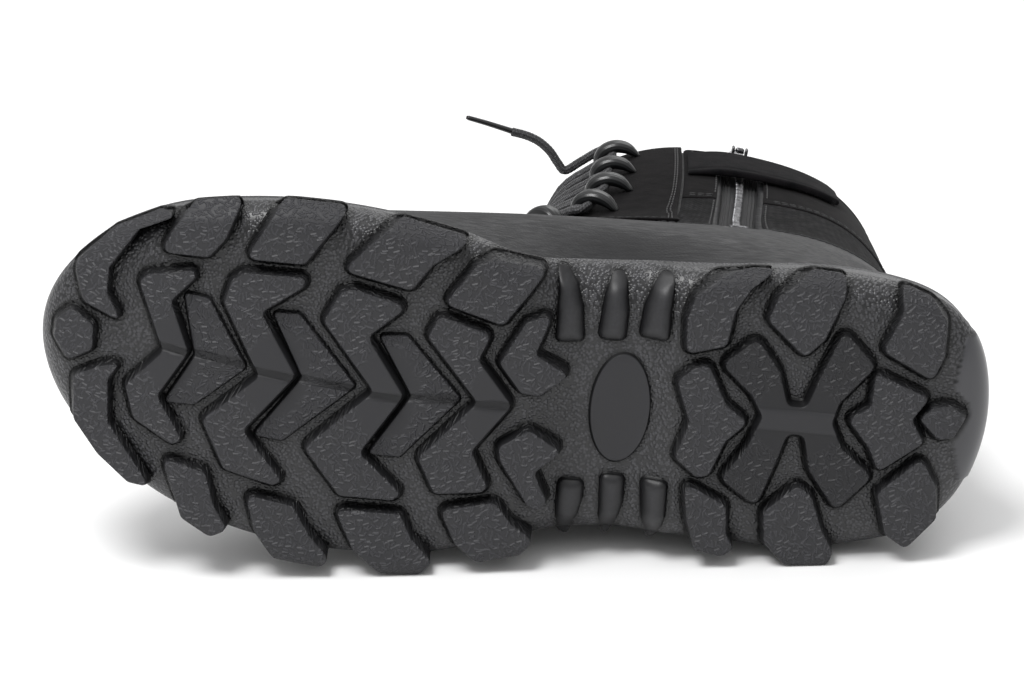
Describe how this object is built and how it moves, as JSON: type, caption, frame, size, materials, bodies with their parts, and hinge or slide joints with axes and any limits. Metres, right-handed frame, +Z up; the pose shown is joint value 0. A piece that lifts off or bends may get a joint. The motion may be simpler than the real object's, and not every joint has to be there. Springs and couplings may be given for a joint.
{
  "type": "tactical boot",
  "caption": "Tall black side-zip tactical boot lying on its lateral side: lugged rubber sole, hollow leather shaft, lace loops, short lace end and a hinged zip pull.",
  "frame": {"origin": "centre of the bounding box's footprint, on the floor that the boot lies on", "axes": "+X from toe to heel, +Y from the sole up the shaft to the collar, +Z up from the floor, which is the boot's medial side"},
  "size_m": [0.3176, 0.229, 0.1298],
  "materials": {
    "sole_rubber": "moulded rubber, fine pebble on the walls and between the lugs, dashed grain on the lugs, smooth ribs at the arch",
    "foam_board": "cloth-faced foam footbed",
    "black_leather": "smooth fine-grained black leather, with padded nylon mesh panels at the shaft",
    "black_nubuck": "matte nubuck facing",
    "padded_nylon": "woven nylon over thin foam",
    "strap_webbing": "hook-and-loop strap, brushed black cloth with a bound edge",
    "zip_tape": "woven zip tape with a stitched edge",
    "zip_metal": "brushed nickel",
    "loop_nylon": "glossy moulded nylon",
    "lace_braid": "braided polyester cord, crosswise ribs",
    "aglet_plastic": "clear-lacquered lace tip"
  },
  "bodies": {
    "boot": {"outsole": "sole_rubber", "insole": "foam_board", "upper": "black_leather", "tongue": "padded_nylon", "eyestay_medial": "black_nubuck", "eyestay_lateral": "black_nubuck", "zip_tape": "zip_tape", "zip_teeth": "zip_metal", "zip_stop": "zip_metal", "zip_slider": "zip_metal", "closure_strap": "strap_webbing", "lace_loop_medial_1": "loop_nylon", "lace_loop_medial_2": "loop_nylon", "lace_loop_medial_3": "loop_nylon", "lace_loop_medial_4": "loop_nylon", "lace_loop_medial_5": "loop_nylon", "lace_loop_lateral_1": "loop_nylon", "lace_loop_lateral_2": "loop_nylon", "lace_loop_lateral_3": "loop_nylon", "lace_loop_lateral_4": "loop_nylon", "lace_loop_lateral_5": "loop_nylon", "lace_crossings": "lace_braid", "lace_end": "lace_braid", "lace_aglet": "aglet_plastic"},
    "pull_tab": {"zip_tab": "zip_metal"}
  },
  "joints": [
    {"name": "pull_tab_hinge", "type": "hinge", "parent": "boot", "child": "pull_tab", "pos_m": [0.08811, 0.09602, 0.08586], "axis": [0.9713, -0.0153, -0.2375], "range_deg": [0, 180]}
  ]
}
